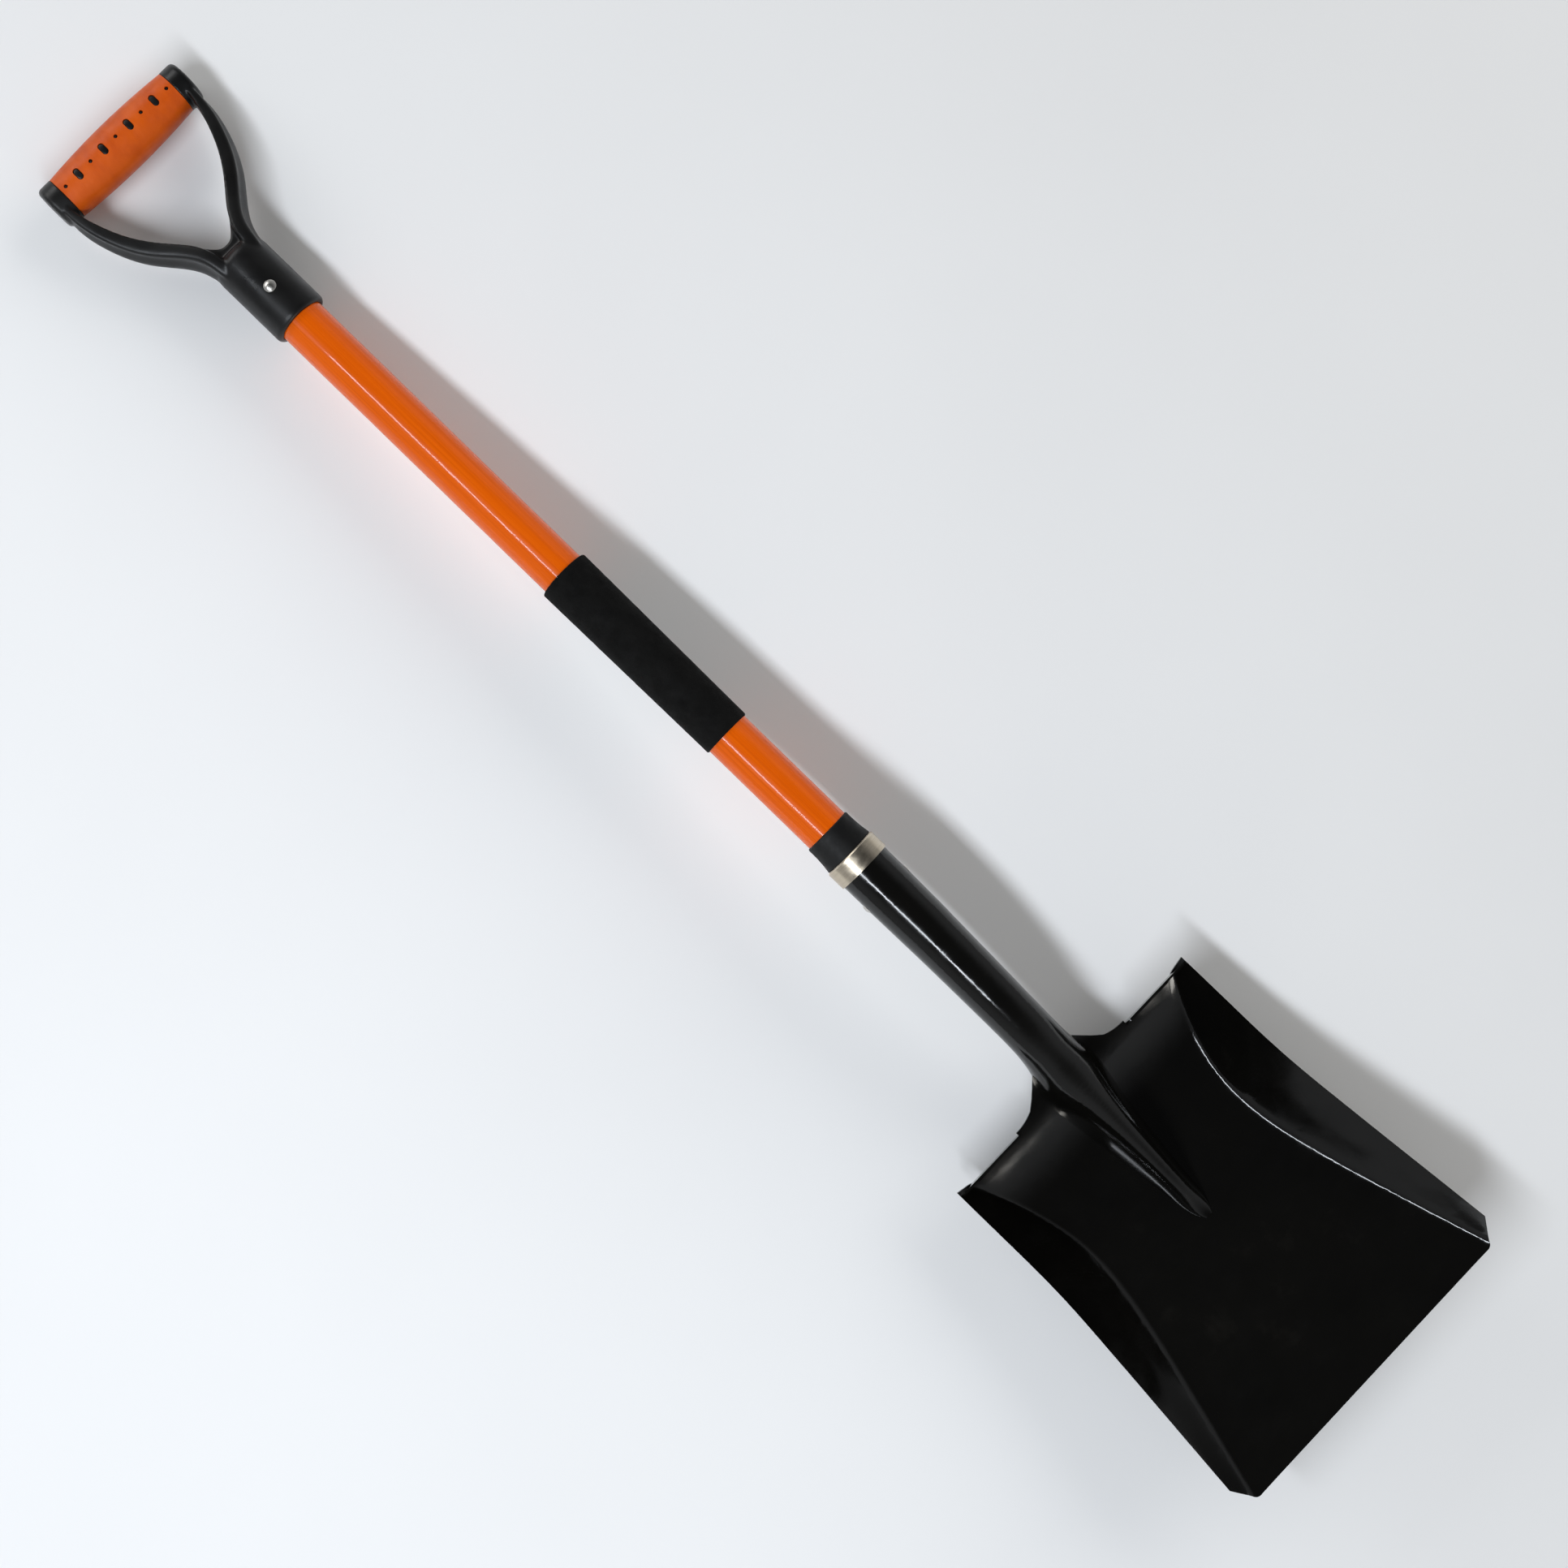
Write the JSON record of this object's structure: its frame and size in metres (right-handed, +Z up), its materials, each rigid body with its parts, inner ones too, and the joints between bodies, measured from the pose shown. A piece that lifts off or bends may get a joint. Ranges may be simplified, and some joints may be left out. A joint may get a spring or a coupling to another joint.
{
  "type": "square-mouth shovel",
  "caption": "Long D-handled shovel with a dished square-mouth steel blade, a tubular shaft, a foam mid grip and a two-material hand grip.",
  "frame": {"origin": "on the floor under the middle of the shovel's box, as it lies on its back", "axes": "+X from the hand grip to the blade's mouth, +Y across the blade, +Z up, away from the floor, out of the blade's open face"},
  "size_m": [1.2283, 0.2612, 0.0943],
  "materials": {
    "head_black_gloss": "gloss black enamel",
    "band_steel": "satin stainless steel",
    "collar_rubber": "matt black",
    "shaft_orange": "gloss orange, drawn fibreglass",
    "core_plastic": "plain",
    "foam_black": "closed-cell foam, matt",
    "handle_black": "satin moulded plastic",
    "sleeve_orange": "satin soft-touch rubber",
    "rivet_steel": "bright, slightly worn"
  },
  "bodies": {
    "root": {"blade_head": "head_black_gloss", "socket_band": "band_steel", "shaft_collar": "collar_rubber", "shaft_tube": "shaft_orange", "upper_core_plug": "core_plastic", "lower_core_plug": "core_plastic", "foam_grip": "foam_black", "handle_frame": "handle_black", "grip_sleeve": "sleeve_orange", "handle_rivet": "rivet_steel", "handle_rivet_washer": "rivet_steel", "socket_rivet": "rivet_steel"}
  },
  "joints": []
}
